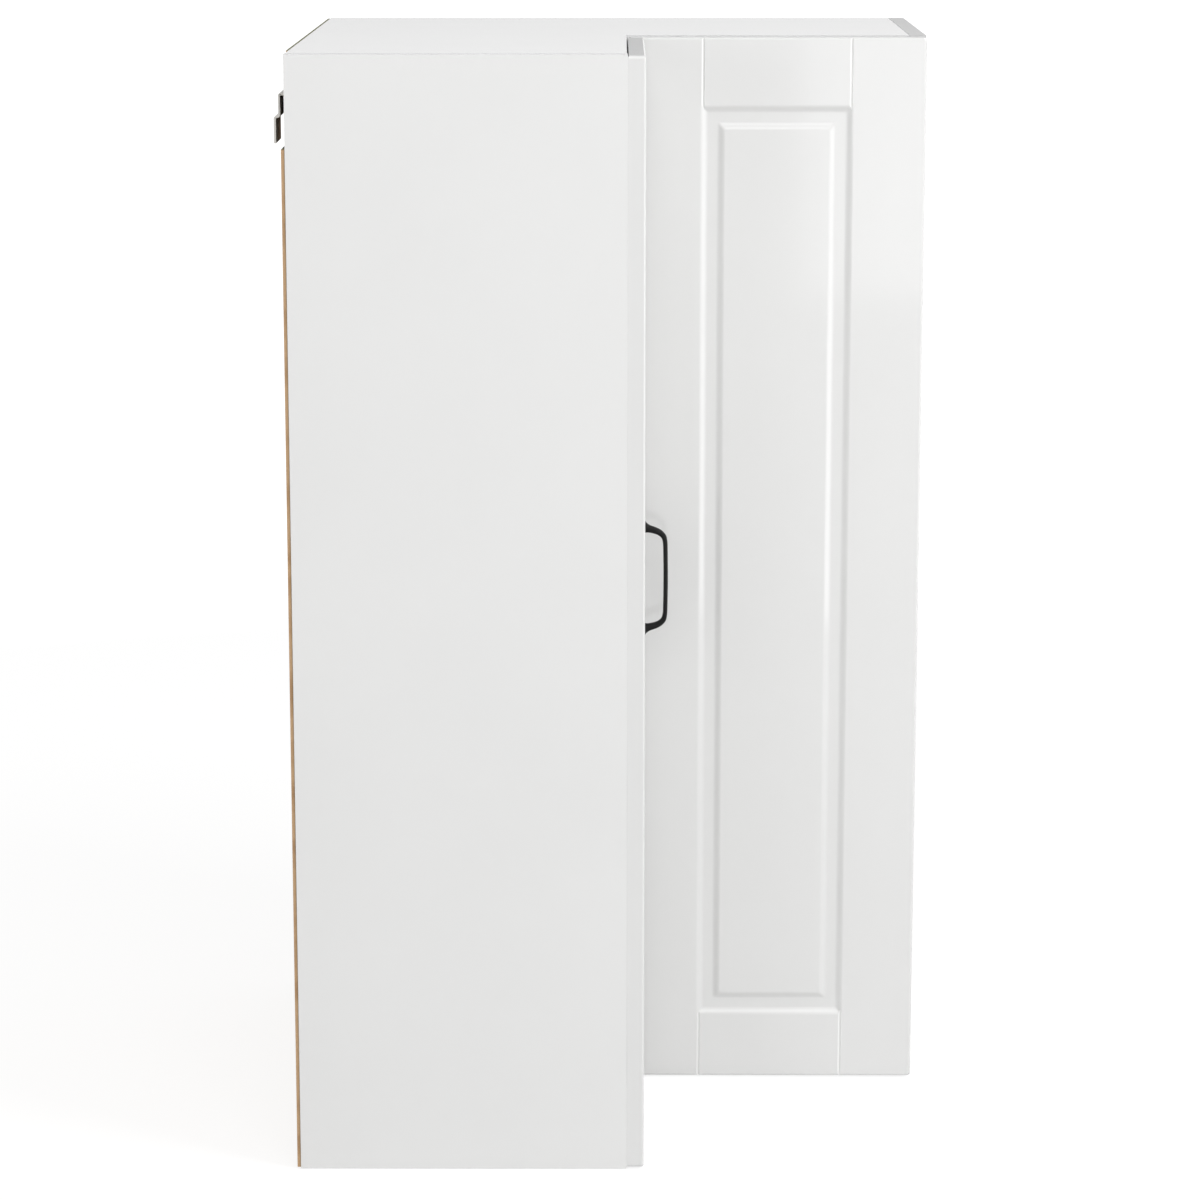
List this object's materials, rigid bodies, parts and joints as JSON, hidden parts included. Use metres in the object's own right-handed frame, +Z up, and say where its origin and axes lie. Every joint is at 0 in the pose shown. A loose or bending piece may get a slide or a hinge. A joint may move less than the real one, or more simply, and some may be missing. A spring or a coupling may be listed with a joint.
{
  "type": "corner wall cabinet",
  "caption": "L-shaped corner wall cabinet with shelves, a folding pair of raised-panel doors, a black bow handle, cranked-link hinges and wall hangers.",
  "frame": {"origin": "middle of the footprint (hangers included) at the underside, where the cabinet stands if put down", "axes": "+Z up; the left arm's end panel faces -Y, the left door faces +X, the right door faces -Y, and the walls are on the -X and +Y sides"},
  "size_m": [0.5802, 0.5802, 1],
  "materials": {
    "white_gloss_board": "high-gloss white melamine on particleboard",
    "white_gloss_door": "high-gloss white foil over routed fibreboard",
    "white_inner_board": "white melamine on particleboard, raw on the wall side",
    "fibreboard": "thin hard fibreboard, brown and smooth outside, raw at the edges",
    "softwood": "planed softwood",
    "zinc_steel": "zinc-plated",
    "nickel_steel": "nickel-plated, bright",
    "black_handle": "matte black powder coat over cast zinc"
  },
  "bodies": {
    "cabinet": {"back_sheet_left": "fibreboard", "back_sheet_right": "fibreboard", "bottom_panel": "white_inner_board", "cam_bottom_left_back": "zinc_steel", "cam_bottom_left_front": "zinc_steel", "cam_bottom_right_back": "zinc_steel", "cam_bottom_right_front": "zinc_steel", "cam_top_left_back": "zinc_steel", "cam_top_left_front": "zinc_steel", "cam_top_right_back": "zinc_steel", "cam_top_right_front": "zinc_steel", "corner_batten": "softwood", "end_panel_left": "white_gloss_board", "end_panel_right": "white_gloss_board", "hanger_left": "zinc_steel", "hanger_right": "zinc_steel", "hanger_screw_left_1": "zinc_steel", "hanger_screw_left_2": "zinc_steel", "hanger_screw_right_1": "zinc_steel", "hanger_screw_right_2": "zinc_steel", "hinge_arm_1": "nickel_steel", "hinge_arm_2": "nickel_steel", "hinge_arm_3": "nickel_steel", "hinge_plate_1": "nickel_steel", "hinge_plate_2": "nickel_steel", "hinge_plate_3": "nickel_steel", "shelf_lower": "white_inner_board", "shelf_pin_lower_corner": "zinc_steel", "shelf_pin_lower_left_back": "zinc_steel", "shelf_pin_lower_left_front": "zinc_steel", "shelf_pin_lower_right_back": "zinc_steel", "shelf_pin_lower_right_front": "zinc_steel", "shelf_pin_upper_corner": "zinc_steel", "shelf_pin_upper_left_back": "zinc_steel", "shelf_pin_upper_left_front": "zinc_steel", "shelf_pin_upper_right_back": "zinc_steel", "shelf_pin_upper_right_front": "zinc_steel", "shelf_upper": "white_inner_board", "top_panel": "white_inner_board"},
    "hinge_links": {"hinge_link_1": "nickel_steel", "hinge_link_2": "nickel_steel", "hinge_link_3": "nickel_steel"},
    "left_door": {"door_left": "white_gloss_door", "fold_leaf_left_1": "nickel_steel", "fold_leaf_left_2": "nickel_steel", "fold_leaf_left_3": "nickel_steel", "fold_pin_1": "nickel_steel", "fold_pin_2": "nickel_steel", "fold_pin_3": "nickel_steel", "handle": "black_handle", "handle_screw_bottom": "zinc_steel", "handle_screw_top": "zinc_steel", "hinge_cup_1": "nickel_steel", "hinge_cup_2": "nickel_steel", "hinge_cup_3": "nickel_steel"},
    "right_door": {"door_right": "white_gloss_door", "fold_leaf_right_1": "nickel_steel", "fold_leaf_right_2": "nickel_steel", "fold_leaf_right_3": "nickel_steel"}
  },
  "joints": [
    {"name": "hinge_links_swing", "type": "hinge", "parent": "cabinet", "child": "hinge_links", "pos_m": [0.0016, -0.2601, 0.5], "axis": [0, 0, 1], "range_deg": [0, 52]},
    {"name": "left_door_turn", "type": "hinge", "parent": "hinge_links", "child": "left_door", "pos_m": [0.0181, -0.2806, 0.5], "axis": [0, 0, -1], "range_deg": [0, 157]},
    {"name": "right_door_fold", "type": "hinge", "parent": "left_door", "child": "right_door", "pos_m": [0.0132, -0.0132, 0.5], "axis": [0, 0, 1], "range_deg": [0, 60]}
  ],
  "couplings": [
    {"joint": "hinge_links_swing", "follows": "right_door_fold", "ratio": 0.86667},
    {"joint": "left_door_turn", "follows": "right_door_fold", "ratio": 2.6167}
  ]
}
